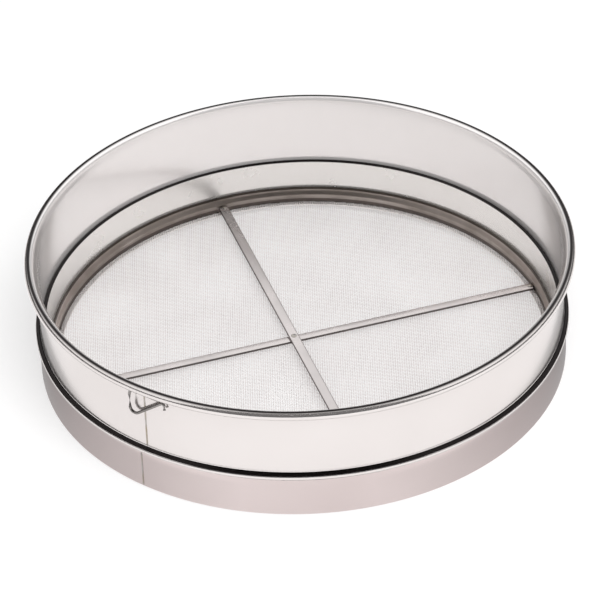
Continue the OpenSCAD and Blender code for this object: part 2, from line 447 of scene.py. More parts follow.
def cut(piece: Object, cutter: Object) -> Object:
    """Cuts one object out of another and removes the cutter.

    Args:
        piece: The object that is cut.
        cutter: The object that cuts.

    Returns:
        The cut object.
    """
    modifier = piece.modifiers.new("cut", "BOOLEAN")
    modifier.operation = "DIFFERENCE"
    modifier.solver = "EXACT"
    modifier.object = cutter
    made = baked(piece)
    bpy.data.objects.remove(cutter)
    return made


# Node trees


class Wiring:
    """A node tree with short calls for its nodes, inputs and links."""

    def __init__(self, tree: NodeTree) -> None:
        """Keeps the tree that the calls work on."""
        self.tree = tree

    def put(self, value: object, socket: NodeSocket) -> None:
        """Links an output to an input, or writes a plain value there.

        Args:
            value: The output or the plain value.
            socket: The input.
        """
        if isinstance(value, NodeSocket):
            self.tree.links.new(value, socket)
        else:
            socket.default_value = value

    def node(self, kind: str, inputs: Inputs | None = None, **settings: object) -> Node:
        """Adds a node.

        Args:
            kind: The node's type.
            inputs: Values or output sockets for its inputs, by name or number.
            **settings: The node's own settings.

        Returns:
            The new node.
        """
        made = self.tree.nodes.new(kind)
        for key, value in settings.items():
            setattr(made, key, value)
        for key, value in (inputs or {}).items():
            self.put(value, made.inputs[key])
        return made

    def first(self, kind: str, inputs: Inputs | None = None, **settings: object) -> NodeSocket:
        """Adds a node, as node does, and returns its first output."""
        return self.node(kind, inputs, **settings).outputs[0]

    def socket(self, label: str, kind: str, way: str = "INPUT") -> str:
        """Gives the tree a named input or output and returns its identifier."""
        face = self.tree.interface
        return face.new_socket(name=label, in_out=way, socket_type=f"NodeSocket{kind}").identifier

    def math(self, operation: str, a: object, b: object = 0.0) -> NodeSocket:
        """Adds a Math node and returns its output."""
        return self.first("ShaderNodeMath", {0: a, 1: b}, operation=operation)

    def vector(self, operation: str, a: object, b: object = (0, 0, 0), output: str = "Vector") -> NodeSocket:
        """Adds a Vector Math node and returns one of its outputs."""
        return self.node("ShaderNodeVectorMath", {0: a, 1: b}, operation=operation).outputs[output]

    def axis(self, vector: object, label: str) -> NodeSocket:
        """Returns one axis of a vector."""
        return self.node("ShaderNodeSeparateXYZ", {0: vector}).outputs[label]

    def joined(self, **axes: object) -> NodeSocket:
        """Returns a vector of the given axes."""
        return self.first("ShaderNodeCombineXYZ", axes)

    def place(self, system: str = "Object") -> NodeSocket:
        """Returns the place on the object, or on its UV map."""
        return self.node("ShaderNodeTexCoord").outputs[system]

    def normal(self) -> NodeSocket:
        """Returns the surface's own normal."""
        return self.node("ShaderNodeNewGeometry").outputs["Normal"]

    def noise(self, place: object, scale: object, detail: float, roughness: float = 0.5) -> NodeSocket:
        """Adds a noise and returns its height."""
        inputs = {"Vector": place, "Scale": scale, "Detail": detail, "Roughness": roughness}
        return self.node("ShaderNodeTexNoise", inputs).outputs["Fac"]

    def ramp(self, value: object, low: float, high: float, start: float = 0, end: object = 1) -> NodeSocket:
        """Adds a clamped Map Range node.

        Args:
            value: The value that is mapped.
            low: The result at start.
            high: The result at end.
            start: The lower end of the value's range.
            end: The upper end of the value's range.

        Returns:
            The mapped value.
        """
        inputs = {"Value": value, "From Min": start, "From Max": end, "To Min": low, "To Max": high}
        return self.node("ShaderNodeMapRange", inputs).outputs["Result"]

    def blend(self, factor: object, a: object, b: Colour) -> NodeSocket:
        """Mixes a colour, or a socket that brings one, with b by a factor."""
        start = a if isinstance(a, NodeSocket) else (*a, 1)
        return self.node("ShaderNodeMix", {0: factor, 6: start, 7: (*b, 1)}, data_type="RGBA").outputs[2]


class SharedGroup(Wiring):
    """A shader group that is built once and placed in each material with its own values."""

    name: str
    inputs: tuple[str, ...] = ()
    given: Sockets

    def wire(self) -> Outputs:
        """Adds the group's nodes and returns its outputs by name."""
        raise NotImplementedError

    @classmethod
    def put_in(cls, w: Wiring, *values: object) -> Sockets:
        """Places the group in a material.

        Args:
            w: The material's wiring.
            *values: Values or sockets for the group's inputs, in their order.

        Returns:
            The group's outputs.
        """
        if cls.name not in bpy.data.node_groups:
            made = cls(bpy.data.node_groups.new(cls.name, "ShaderNodeTree"))
            for label in cls.inputs:
                made.socket(label, "Float")
            made.given = made.node("NodeGroupInput").outputs
            outputs = made.wire()
            for label in outputs:
                made.socket(label, "Vector" if label == "Normal" else "Float", "OUTPUT")
            made.node("NodeGroupOutput", outputs)
        tree = bpy.data.node_groups[cls.name]
        return w.node("ShaderNodeGroup", dict(enumerate(values)), node_tree=tree).outputs


class RollingGrain(SharedGroup):
    """The fine streaks that a mill's rolls leave along a strip."""

    name = "rolling_grain"
    inputs = ("Along", "Across")

    def wire(self) -> Outputs:
        """Returns the streaks."""
        scale = self.joined(X=self.given["Along"], Y=self.given["Across"])
        place = self.vector("MULTIPLY", self.place("UV"), scale)
        return {"Streak": self.noise(place, 1.0, detail=3.0, roughness=0.6)}


class HandlingHaze(SharedGroup):
    """The soft clouds and small marks that handling leaves on steel."""

    name = "handling_haze"
    inputs = ("Cloud Scale", "Mark Scale")
    cloud_range: Point = (0.35, 0.65)
    mark_range: Point = (0.6, 0.72)

    def wire(self) -> Outputs:
        """Returns the clouds and the marks."""
        place = self.place()
        cloud = self.noise(place, self.given["Cloud Scale"], detail=2.0)
        mark = self.noise(place, self.given["Mark Scale"], detail=4.0)
        return {"Cloud": self.ramp(cloud, 0, 1, *self.cloud_range),
                "Mark": self.ramp(mark, 0, 1, *self.mark_range)}


class WallZone(SharedGroup):
    """The mask of a ring-shaped zone round the drum's axis."""

    name = "wall_zone"
    inputs = ("Inner", "Outer", "Low", "High", "Soft")

    def wire(self) -> Outputs:
        """Returns the mask."""
        given, place = self.given, self.place()
        far = self.vector("LENGTH", self.vector("MULTIPLY", place, (1, 1, 0)), output="Value")
        z = self.axis(place, "Z")
        sides = [self.ramp(self.math("SUBTRACT", a, b), 0, 1, 0, given["Soft"])
                 for a, b in ((given["Outer"], far), (far, given["Inner"]))]
        mask = self.math("MULTIPLY", *sides)
        for end in (self.math("GREATER_THAN", z, given["Low"]), self.math("LESS_THAN", z, given["High"])):
            mask = self.math("MULTIPLY", mask, end)
        return {"Mask": mask}


class InwardFace(SharedGroup):
    """The mask of the faces that look towards the drum's axis."""

    name = "inward_face"

    def wire(self) -> Outputs:
        """Returns the mask."""
        level = self.vector("MULTIPLY", self.place(), (1, 1, 0))
        outward = self.vector("DOT_PRODUCT", level, self.normal(), "Value")
        return {"Mask": self.math("LESS_THAN", outward, 0.0)}


class UprightFace(SharedGroup):
    """The mask of the faces that stand upright, such as a strip's edges."""

    name = "upright_face"
    rise_range: Point = (0.6, 0.985)

    def wire(self) -> Outputs:
        """Returns the mask."""
        rise = self.math("ABSOLUTE", self.axis(self.normal(), "Z"))
        return {"Mask": self.ramp(rise, 1, 0, *self.rise_range)}


class LevelNormals(SharedGroup):
    """Normals that lie level where a mask says so, as on a wall without its flare."""

    name = "level_normals"
    inputs = ("Mask",)

    def wire(self) -> Outputs:
        """Returns the normals."""
        normal = self.normal()
        flat = self.vector("MULTIPLY", normal, (1, 1, 0))
        mixed = self.node("ShaderNodeMix", {0: self.given["Mask"], 4: normal, 5: flat}, data_type="VECTOR")
        return {"Normal": self.vector("NORMALIZE", mixed.outputs[1])}


class ShapeTree(Wiring):
    """A Geometry Nodes tree with named inputs that runs a section along paths."""

    def __init__(self, name: str, kinds: dict[str, str]) -> None:
        """Starts the tree.

        Args:
            name: The tree's name.
            kinds: The kind of each named input.
        """
        super().__init__(bpy.data.node_groups.new(name, "GeometryNodeTree"))
        self.keys = {label: self.socket(label, kind) for label, kind in kinds.items()}
        self.socket("Geometry", "Geometry", "OUTPUT")
        self.given = self.node("NodeGroupInput").outputs

    def solid(self, paths: NodeSocket, section: NodeSocket) -> NodeSocket:
        """Runs a section along paths.

        Args:
            paths: The curves to follow.
            section: The section's outline.

        Returns:
            The smooth solid, with closed ends.
        """
        inputs = {"Curve": paths, "Profile Curve": section, "Fill Caps": True}
        made = self.first("GeometryNodeCurveToMesh", inputs)
        return self.first("GeometryNodeSetShadeSmooth", {"Geometry": made})

    def put_out(self, shape: NodeSocket) -> None:
        """Ends the tree with real faces in the given material.

        Args:
            shape: What the tree has made.
        """
        real = self.first("GeometryNodeRealizeInstances", {"Geometry": shape})
        inputs = {"Geometry": real, "Material": self.given["Material"]}
        self.node("NodeGroupOutput", {"Geometry": self.first("GeometryNodeSetMaterial", inputs)})

    def run(self, name: str, data: bpy.types.ID, values: dict[str, object]) -> Object:
        """Runs the tree on a mesh or a curve.

        Args:
            name: The new object's name.
            data: The mesh or curve.
            values: The tree's inputs by name.

        Returns:
            The finished object.
        """
        made = object_of(name, data)
        modifier = made.modifiers.new("shape", "NODES")
        modifier.node_group = self.tree
        for label, value in values.items():
            modifier[self.keys[label]] = value
        return baked(made)


# Finishes


def new_material(name: str) -> tuple[Material, Wiring, Sockets]:
    """Makes a material with a Principled shader.

    Args:
        name: The material's name.

    Returns:
        The material, its wiring and its shader's inputs.
    """
    material = bpy.data.materials.new(name)
    material.use_nodes = True
    return material, Wiring(material.node_tree), material.node_tree.nodes["Principled BSDF"].inputs


@dataclass(frozen=True)
class Zone:
    """A ring-shaped zone round the drum's axis, in metres.

    Attributes:
        inner: Its inner radius.
        outer: Its outer radius.
        low: Its lowest height.
        high: Its greatest height.
        soft: Width of its soft edges.
        tint: The colour painted over the steel there: painted shade or a painted reflection.
    """

    inner: float
    outer: float
    low: float
    high: float
    soft: float = 0.00003
    tint: Colour = (0.015, 0.012, 0.012)

    def mask(self, w: Wiring) -> NodeSocket:
        """Adds the zone's mask and returns its socket."""
        return WallZone.put_in(w, self.inner, self.outer, self.low, self.high, self.soft)["Mask"]


@dataclass(frozen=True)
class SteelFinish:
    """Bright or dull stainless steel.

    Attributes:
        name: The material's name.
        tint: Colour of clean steel.
        dark_tint: Colour in the haze's clouds.
        roughness: Roughness of clean steel.
        haze: Extra roughness in the clouds.
        metal: How metallic it is: a brushed or etched face scatters more.
        grain_depth: Depth of the streaks, in metres.
        grain_strength: How plainly they show.
        grain_across: Streaks to a metre across the strip.
        grain_stretch: How much longer than wide they are.
        cloud_scale: Clouds to a metre.
        marks_to_clouds: How much smaller than the clouds the marks are.
        mark_wear: How much a mark roughens, beside a cloud.
        strip: Whether the piece has a UV map along its strip.
        painted_shade_and_reflection_zones: Zones painted dark, as painted shade in creases and along edges,
            and as a painted reflection on the rim's crest.
        upright: Zone whose normals lie level.
        inward_painted_light_tint: Lighter tint painted on the faces that look inward, as painted light on the
            drum's inside.
        inside_matt: How much less metallic those faces are.
        painted_edge_shade: Dark tint painted on the faces that stand upright, as painted shade along a strip's
            edges.
    """

    name: str
    tint: Colour
    dark_tint: Colour
    roughness: float
    haze: float
    metal: float = 1.0
    grain_depth: float = 0.00001
    grain_strength: float = 0.6
    grain_across: float = 2500.0
    grain_stretch: float = 60.0
    cloud_scale: float = 14.0
    marks_to_clouds: float = 9.0
    mark_wear: float = 0.6
    strip: bool = True
    painted_shade_and_reflection_zones: tuple[Zone, ...] = ()
    upright: Zone | None = None
    inward_painted_light_tint: Colour | None = None
    inside_matt: float = 0.0
    painted_edge_shade: Colour | None = None

    def colour(self, w: Wiring, cloud: NodeSocket) -> NodeSocket:
        """Wires the steel's colour.

        Args:
            w: The material's wiring.
            cloud: The haze's clouds.

        Returns:
            The colour's socket.
        """
        made = w.blend(cloud, self.tint, self.dark_tint)
        # Painted light: the faces that look inward get a lighter tint.
        if self.inward_painted_light_tint:
            made = w.blend(InwardFace.put_in(w)["Mask"], made, self.inward_painted_light_tint)
        # Painted shade: faces that stand upright, such as a bar's sides, get a dark tint.
        if self.painted_edge_shade:
            made = w.blend(UprightFace.put_in(w)["Mask"], made, self.painted_edge_shade)
        # Painted shade and painted reflection: dark ring zones laid over the steel's colour.
        for zone in self.painted_shade_and_reflection_zones:
            made = w.blend(zone.mask(w), made, zone.tint)
        return made

    def grain(self, w: Wiring) -> NodeSocket:
        """Wires the streaks, or the fine grain of a piece without a strip.

        Args:
            w: The material's wiring.

        Returns:
            The normals' socket.
        """
        if self.strip:
            along = self.grain_across / self.grain_stretch
            height = RollingGrain.put_in(w, along, self.grain_across)["Streak"]
        else:
            height = w.noise(w.place(), self.grain_across, detail=2.0)
        inputs = {"Height": height, "Distance": self.grain_depth, "Strength": self.grain_strength}
        if self.upright:
            inputs["Normal"] = LevelNormals.put_in(w, self.upright.mask(w))["Normal"]
        return w.node("ShaderNodeBump", inputs).outputs["Normal"]

    @cache
    def material(self) -> Material:
        """Builds the material once."""
        material, w, shader = new_material(self.name)
        haze = HandlingHaze.put_in(w, self.cloud_scale, self.cloud_scale * self.marks_to_clouds)
        w.put(self.colour(w, haze["Cloud"]), shader["Base Color"])
        worn = w.math("ADD", haze["Cloud"], w.math("MULTIPLY", haze["Mark"], self.mark_wear))
        w.put(w.ramp(worn, self.roughness, self.roughness + self.haze), shader["Roughness"])
        w.put(self.metal, shader["Metallic"])
        if self.inside_matt:
            inward = InwardFace.put_in(w)["Mask"]
            w.put(w.ramp(inward, self.metal, self.metal - self.inside_matt), shader["Metallic"])
        w.put(self.grain(w), shader["Normal"])
        return material


@dataclass(frozen=True)
class WeldFinish:
    """Ground weld: grainy grey steel with a little straw and blue heat tint.

    Attributes:
        name: The material's name.
        clean: Colour of the ground metal.
        straw: Colour of the light heat tint.
        blue: Colour of the dark heat tint.
        roughness: Roughness of the ground metal.
        haze: Extra roughness in the dark tint.
        cloud_scale: Clouds of straw to a metre.
        mark_scale: Marks of blue to a metre.
        depth: Depth of the marks, in metres.
        strength: How plainly they show.
    """

    name: str
    clean: Colour
    straw: Colour
    blue: Colour
    roughness: float
    haze: float = 0.2
    cloud_scale: float = 160.0
    mark_scale: float = 900.0
    depth: float = 0.00008
    strength: float = 0.7

    @cache
    def material(self) -> Material:
        """Builds the material once."""
        material, w, shader = new_material(self.name)
        haze = HandlingHaze.put_in(w, self.cloud_scale, self.mark_scale)
        mark = haze["Mark"]
        w.put(w.blend(mark, w.blend(haze["Cloud"], self.clean, self.straw), self.blue), shader["Base Color"])
        w.put(w.ramp(mark, self.roughness, self.roughness + self.haze), shader["Roughness"])
        w.put(1.0, shader["Metallic"])
        inputs = {"Height": mark, "Distance": self.depth, "Strength": self.strength}
        w.put(w.node("ShaderNodeBump", inputs).outputs["Normal"], shader["Normal"])
        return material


SHEET_FINISH = SteelFinish(
    "polished_sheet", (0.83, 0.78, 0.765), (0.8, 0.75, 0.735), 0.14, 0.05, metal=0.85,
    # Painted shade: the first zone darkens the ledge and cove at the foot of the upper wall. Painted
    # reflection: the second zone lays a dark line on the rim bead's crest.
    painted_shade_and_reflection_zones=(Zone(0.14365, 0.1462, 0.0265, 0.0277), Zone(0.1462, 0.1491, 0.0675, 0.071, 0.0009)),
    # Painted light: the upper hoop's inward faces are tinted lighter than its outside.
    upright=Zone(0.14, 0.1456, 0.05, 0.06745), inward_painted_light_tint=(1.0, 0.965, 0.955), inside_matt=0.35)
LIP_FINISH = SteelFinish(
    "sieve_sheet", (1.0, 0.975, 0.95), (0.98, 0.955, 0.93), 0.24, 0.05, metal=0.75,
    # Painted shade: the zone darkens the top of the sieve hoop's folded lip, in the crevice against the upper
    # wall.
    painted_shade_and_reflection_zones=(Zone(0.1404, 0.1431, 0.0287, 0.031, 0.0001),), upright=Zone(0.13, 0.1412, 0.004, 0.0236))
# Painted shade: the base hoop is the same sheet steel, tinted darker for the shaded floor that it mirrors near
# the foot.
BASE_PAINTED_SHADE_FINISH = SteelFinish("base_sheet_painted_shade", (0.7, 0.61, 0.6), (0.66, 0.57, 0.56), 0.13, 0.05, metal=0.99)
WIRE_FINISH = SteelFinish(
    "drawn_wire", (0.34, 0.32, 0.31), (0.26, 0.24, 0.23), 0.25, 0.12,
    grain_across=900.0, cloud_scale=60.0, strip=False)
CLOTH_FINISH = SteelFinish(
    "woven_cloth", (0.92, 0.87, 0.86), (0.8, 0.735, 0.725), 0.34, 0.1, metal=0.65,
    grain_across=700.0, cloud_scale=24.0, strip=False)
STRIP_FINISH = SteelFinish(
    "dull_strip", (0.52, 0.465, 0.43), (0.42, 0.37, 0.335), 0.32, 0.16, grain_depth=0.00004, cloud_scale=70.0,
    # Painted shade: the two zones darken the clamp strip's top edge, in its gap at the hoop's wall, and its
    # foot, where it meets the cloth.
    painted_shade_and_reflection_zones=(Zone(0.13, 0.1425, 0.0121, 0.0142, tint=(0.1, 0.085, 0.075)),
           Zone(0.13, 0.1425, 0.0044, 0.0066, tint=(0.2, 0.175, 0.16))))
BAR_FINISH = SteelFinish(
    # Painted shade: the bars' upright sides are tinted dark.
    "bar_strip", (0.76, 0.71, 0.7), (0.68, 0.64, 0.63), 0.24, 0.1, metal=0.9, painted_edge_shade=(0.17, 0.15, 0.145),
    grain_across=1200.0, cloud_scale=40.0, strip=False)
WELD_FINISH = WeldFinish("ground_weld", (0.5, 0.48, 0.46), (0.42, 0.36, 0.28), (0.2, 0.21, 0.25), 0.34)


def hand_over(piece: Object, body: Body, slot: Slot, finish: SteelFinish | WeldFinish, *nodes: str) -> None:
    """Dresses a finished piece and lets it stand for its nodes.

    Args:
        piece: The finished piece.
        body: The body that it rides on.
        slot: The record's slot of its finish; not used.
        finish: Its finish.
        *nodes: The nodes that it replaces.
    """
    piece.data.materials.clear()
    piece.data.materials.append(finish.material())
    if nodes:
        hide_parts(*nodes)
        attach(piece, body.value)
    log.info("%s: %d faces on %s", piece.name, len(piece.data.polygons), body.value)


# Sub-assemblies


@dataclass
class Hoops:
    """The three hoops, with the rim's wire and the welds of the seams."""

    sizes: DrumSizes
    seam_line: float = 0.12
    curl_end_deg: float = -125.0
    curl_steps: int = 48
    curl_straight: float = 0.5
    curl_lap: float = 0.05
    rim_bend: float = 1.0
    flare_bend: float = 4.0
    hem_gap: float = 0.8
    hem_bend: float = 0.15
    lip_bend: float = 0.7
    lock_out: float = 1.1
    lock_flat: float = 0.001
    lock_bend: float = 0.8
    seat_bend: float = 0.6
    hole_d: float = 3.0
    hole_rise: float = 0.55
    hole_reach: float = 4.0
    hole_sides: int = 48

    def upper_path(self) -> Path:
        """Works out the middle surface of the upper hoop.

        Returns:
            Its points, from the curl down to the flange.
        """
        s = self.sizes
        rim_in = s.bead_r - s.curl_r
        flare_z = s.bead_z - self.curl_straight
        ledge_z = s.joint_z + s.shoulder_h - s.half_t
        flange_z = s.joint_z + s.half_t
        wide = s.wall_mid + s.shoulder_out
        edge = s.shoulder_r - s.half_t
        curl = arc((s.bead_r, s.bead_z), s.curl_r, math.radians(self.curl_end_deg), math.pi, self.curl_steps)
        wall = rounded(
            [(rim_in, s.bead_z - self.curl_lap), (rim_in, flare_z), (s.wall_mid, flare_z - s.flare_h),
             (s.wall_mid, ledge_z), (wide, ledge_z), (wide, flange_z), (s.flange_in, flange_z)],
            [0, self.rim_bend, self.flare_bend, s.cove_r + s.half_t, edge, edge, 0],
        )
        return curl + wall

    def base_path(self) -> Path:
        """Works out the middle surface of the base hoop.

        Returns:
            Its points, from the folded hem up to the flange.
        """
        s = self.sizes
        hem = s.skirt_mid - s.sheet_t - self.hem_gap
        fold = s.half_t + self.hem_bend
        flange_z = s.joint_z - s.half_t
        return rounded(
            [(hem, s.hem_h), (hem, s.half_t), (s.skirt_mid, s.half_t), (s.skirt_mid, flange_z),
             (s.flange_in, flange_z)],
            [0, fold, fold, s.collar_r - s.half_t, 0],
        )

    def sieve_path(self, lock_out: float) -> Path:
        """Makes the middle surface of the sieve hoop, from its folded lip down to its seat.

        Args:
            lock_out: How far the locking bead stands out.

        Returns:
            The path's points.
        """
        s = self.sizes
        lip_mid = s.wall_in - s.lip_gap - s.half_t
        lip_z = s.joint_z + s.lip_h - s.half_t
        seat_r = s.neck_mid - s.sieve_taper
        seat_z = s.seat_z - s.half_t
        lock = self.lock_bend
        return rounded(
            [(lip_mid, s.joint_z + s.sheet_t), (lip_mid, lip_z), (s.neck_mid, lip_z),
             (s.neck_mid, s.lock_top_z), (s.neck_mid + lock_out, s.lock_top_z - s.lock_h / 2),
             (s.neck_mid, s.lock_low_z), (seat_r, seat_z), (seat_r - s.seat_w, seat_z)],
            [0, self.lip_bend, self.lip_bend, lock, lock, lock, self.seat_bend, 0],
        )

    def sieve_outline(self) -> Path:
        """Works out the sieve hoop's outline.

        Returns:
            Its points, with the locking bead on the outside only.
        """
        outer = sheet_outline(self.sieve_path(self.lock_out), self.sizes.sheet_t)
        inner = sheet_outline(self.sieve_path(self.lock_flat), self.sizes.sheet_t)
        return outer[:len(outer) // 2] + inner[len(inner) // 2:]

    def hole_cutter(self) -> Object:
        """Makes the round cutter of the hole that the loop hangs in.

        Returns:
            The cutter.
        """
        s, radius = self.sizes, self.hole_d / 2 * MM
        work = bmesh.new()
        bmesh.ops.create_cone(work, cap_ends=True, segments=self.hole_sides, radius1=radius, radius2=radius,
                              depth=self.hole_reach * MM)
        level = Matrix.Rotation(math.radians(90), 4, "Y")
        place = Matrix.Translation((s.wall_mid * MM, 0, (s.drum_h - s.loop_drop + self.hole_rise) * MM))
        work.transform(spin(s.loop_az, 4) @ place @ level)
        return object_of("hole_cutter", mesh_of("hole_cutter", work))

    def build(self) -> None:
        """Builds and dresses the hoops, and dresses the rim's wire and the welds."""
        s, t = self.sizes, self.sizes.sheet_t
        upper = rolled("upper_band", sheet_outline(self.upper_path(), t), s.upper_seam_az, self.seam_line)
        upper = cut(upper, self.hole_cutter())
        soften(upper.data)
        base = rolled("base_band", sheet_outline(self.base_path(), t), s.base_seam_az, self.seam_line)
        sieve = rolled("sieve_band", self.sieve_outline())
        hand_over(upper, Body.DRUM, Slot.SHEET, SHEET_FINISH, "upper_hoop")
        hand_over(base, Body.DRUM, Slot.SHEET, BASE_PAINTED_SHADE_FINISH, "base_hoop")
        hand_over(sieve, Body.DRUM, Slot.SHEET, LIP_FINISH, "sieve_hoop")
        hand_over(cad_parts["rim_wire"], Body.DRUM, Slot.WIRE, WIRE_FINISH)
        for node in ("upper_seam_weld", "base_seam_weld"):
            hand_over(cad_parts[node], Body.DRUM, Slot.WELD, WELD_FINISH)


class ClothTree(ShapeTree):
    """The tree that weaves one run of wires."""

    wire_sides: int = 4

    def __init__(self) -> None:
        """Builds the tree."""
        lengths = ("Pitch", "Wire Radius", "Crimp", "Cloth Radius", "From", "To", "Turn", "Height")
        kinds = {"Count": "Int", "Material": "Material", **dict.fromkeys(lengths, "Float")}
        super().__init__("woven_run", kinds)
        given = self.given
        side = self.math("MULTIPLY", self.math("SUBTRACT", given["Count"], 1.0), given["Pitch"])
        grid = self.first("GeometryNodeMeshGrid", {
            "Size X": side, "Size Y": side, "Vertices X": given["Count"], "Vertices Y": given["Count"]})
        runs = self.keep_disc(self.keep_runs(grid))
        wires = self.first("GeometryNodeMeshToCurve", {"Mesh": self.crimp(runs)})
        round_wire = {"Resolution": self.wire_sides, "Radius": given["Wire Radius"]}
        solid = self.solid(wires, self.first("GeometryNodeCurvePrimitiveCircle", round_wire))
        self.put_out(self.first("GeometryNodeTransform", {
            "Geometry": solid, "Translation": self.joined(Z=given["Height"]),
            "Rotation": self.joined(Z=given["Turn"])}))

    def keep_runs(self, mesh: NodeSocket) -> NodeSocket:
        """Removes the edges that run across the wires.

        Args:
            mesh: The grid.

        Returns:
            The edges along the wires.
        """
        ends = self.node("GeometryNodeInputMeshEdgeVertices").outputs
        along = self.axis(self.vector("SUBTRACT", ends["Position 1"], ends["Position 2"]), "X")
        half = self.math("MULTIPLY", self.given["Pitch"], 0.5)
        inputs = {"Geometry": mesh, "Selection": self.math("LESS_THAN", self.math("ABSOLUTE", along), half)}
        return self.first("GeometryNodeDeleteGeometry", inputs, domain="EDGE", mode="EDGE_FACE")

    def keep_disc(self, mesh: NodeSocket) -> NodeSocket:
        """Removes what lies outside the cloth's edge or the piece's share of it.

        Args:
            mesh: The edges along the wires.

        Returns:
            The edges inside.
        """
        place, given = self.first("GeometryNodeInputPosition"), self.given
        y = self.axis(place, "Y")
        beside = self.math("MAXIMUM", self.math("LESS_THAN", y, given["From"]),
                           self.math("GREATER_THAN", y, given["To"]))
        far = self.vector("LENGTH", place, output="Value")
        gone = self.math("MAXIMUM", self.math("GREATER_THAN", far, given["Cloth Radius"]), beside)
        inputs = {"Geometry": mesh, "Selection": gone}
        return self.first("GeometryNodeDeleteGeometry", inputs, domain="POINT", mode="ALL")

    def crimp(self, mesh: NodeSocket) -> NodeSocket:
        """Lifts and sinks the wires in turn where they cross.

        Args:
            mesh: The edges along the wires.

        Returns:
            The crimped edges.
        """
        place = self.first("GeometryNodeInputPosition")
        crossing = self.math("ADD", self.axis(place, "X"), self.axis(place, "Y"))
        crossing = self.math("ROUND", self.math("DIVIDE", crossing, self.given["Pitch"]))
        odd = self.math("FLOORED_MODULO", crossing, 2.0)
        side = self.math("SUBTRACT", 1.0, self.math("MULTIPLY", odd, 2.0))
        offset = self.joined(Z=self.math("MULTIPLY", side, self.given["Crimp"]))
        return self.first("GeometryNodeSetPosition", {"Geometry": mesh, "Offset": offset})


@dataclass
class SieveCloth:
    """The woven cloth and the split ring that clamps it."""

    sizes: DrumSizes
    pitch: float = 1.25
    edge_gap: float = 0.4
    rib_bend: float = 1.0

    def weave(self) -> None:
        """Weaves the cloth in four shares, two for each direction of its wires."""
        s = self.sizes
        tree = ClothTree()
        reach = s.taper_r(s.seat_z, s.half_t) - self.edge_gap
        wire_r = s.mesh_t / 4
        shares = {"cloth_weft_near": (0, -1), "cloth_weft_far": (0, 1),
                  "cloth_warp_left": (90, 1), "cloth_warp_right": (90, -1)}
        for name, (turn_deg, side) in shares.items():
            low, high = (-0.5 * self.pitch, reach) if side > 0 else (-reach, -0.5 * self.pitch)
            piece = tree.run(name, bpy.data.meshes.new(name), {
                "Count": 2 * math.floor(reach / self.pitch) + 1, "Pitch": self.pitch * MM,
                "Wire Radius": wire_r * MM, "Crimp": wire_r * MM * (1 if turn_deg == 0 else -1),
                "Cloth Radius": reach * MM, "From": low * MM, "To": high * MM, "Turn": math.radians(turn_deg),
                "Height": (s.seat_z + s.mesh_t / 2) * MM, "Material": CLOTH_FINISH.material()})
            hand_over(piece, Body.DRUM, Slot.CLOTH, CLOTH_FINISH, "sieve_mesh")

    def clamp(self) -> None:
        """Builds the ribbed strip that clamps the cloth's edge."""
        s, bend_r = self.sizes, self.rib_bend
        mid = s.clamp_off + s.clamp_t / 2
        rib_z, rib_h = s.rib
        heights = [s.mesh_top, rib_z - rib_h, rib_z, rib_z + rib_h, s.mesh_top + s.clamp_h]
        ribs = [0, 0, s.clamp_rib, 0, 0]
        path = rounded([(s.taper_r(z, mid) - rib, z) for z, rib in zip(heights, ribs)],
                       [0, bend_r, bend_r, bend_r, 0])
        outline = [np.array([p[0], max(p[1], s.mesh_top)]) for p in sheet_outline(path, s.clamp_t)]
        ring = rolled("clamp_strip", outline, s.base_seam_az, s.clamp_split)
        hand_over(ring, Body.DRUM, Slot.STRIP, STRIP_FINISH, "clamp_ring")

    def build(self) -> None:
        """Builds and dresses the cloth and its clamp."""
        self.weave()
        self.clamp()


class SweepTree(ShapeTree):
    """The tree that runs a section along a path, for the bars and the loop."""

    def __init__(self) -> None:
        """Builds the tree."""
        super().__init__("swept_section", {"Path": "Geometry", "Flat Width": "Float", "Thickness": "Float",
                                           "Sides": "Int", "Material": "Material"})
        given = self.given
        half = self.math("MULTIPLY", given["Thickness"], 0.5)
        ring = {"Resolution": given["Sides"], "Radius": half}
        circle = self.first("GeometryNodeCurvePrimitiveCircle", ring)
        x = self.axis(self.first("GeometryNodeInputPosition"), "X")
        right = self.math("GREATER_THAN", x, 0.0)
        way = self.math("SUBTRACT", self.math("MULTIPLY", right, 2.0), 1.0)
        shift = self.math("MULTIPLY", way, self.math("MULTIPLY", given["Flat Width"], 0.5))
        section = self.first("GeometryNodeSetPosition", {"Geometry": circle, "Offset": self.joined(X=shift)})
        level = self.first("GeometryNodeSetCurveNormal", {"Curve": given["Path"]}, mode="Z_UP")
        self.put_out(self.solid(level, section))

    def sweep(self, name: str, path: Sequence[Vector], flat: float, thickness: float, sides: int,
              finish: SteelFinish) -> Object:
        """Runs a section along a path.

        Args:
            name: The new object's name.
            path: The path's points, in millimetres.
            flat: Width of the flat between the section's round edges.
            thickness: Thickness of the section.
            sides: Steps round the section.
            finish: The piece's finish.

        Returns:
            The finished object.
        """
        curve = bpy.data.curves.new(name, "CURVE")
        curve.dimensions = "3D"
        spline = curve.splines.new("POLY")
        spline.points.add(len(path) - 1)
        for point, place in zip(spline.points, path):
            point.co = (*(c * MM for c in place), 1)
        piece = self.run(name, curve, {"Flat Width": flat * MM, "Thickness": thickness * MM, "Sides": sides,
                                       "Material": finish.material()})
        soften(face_outwards(piece.data))
        return piece


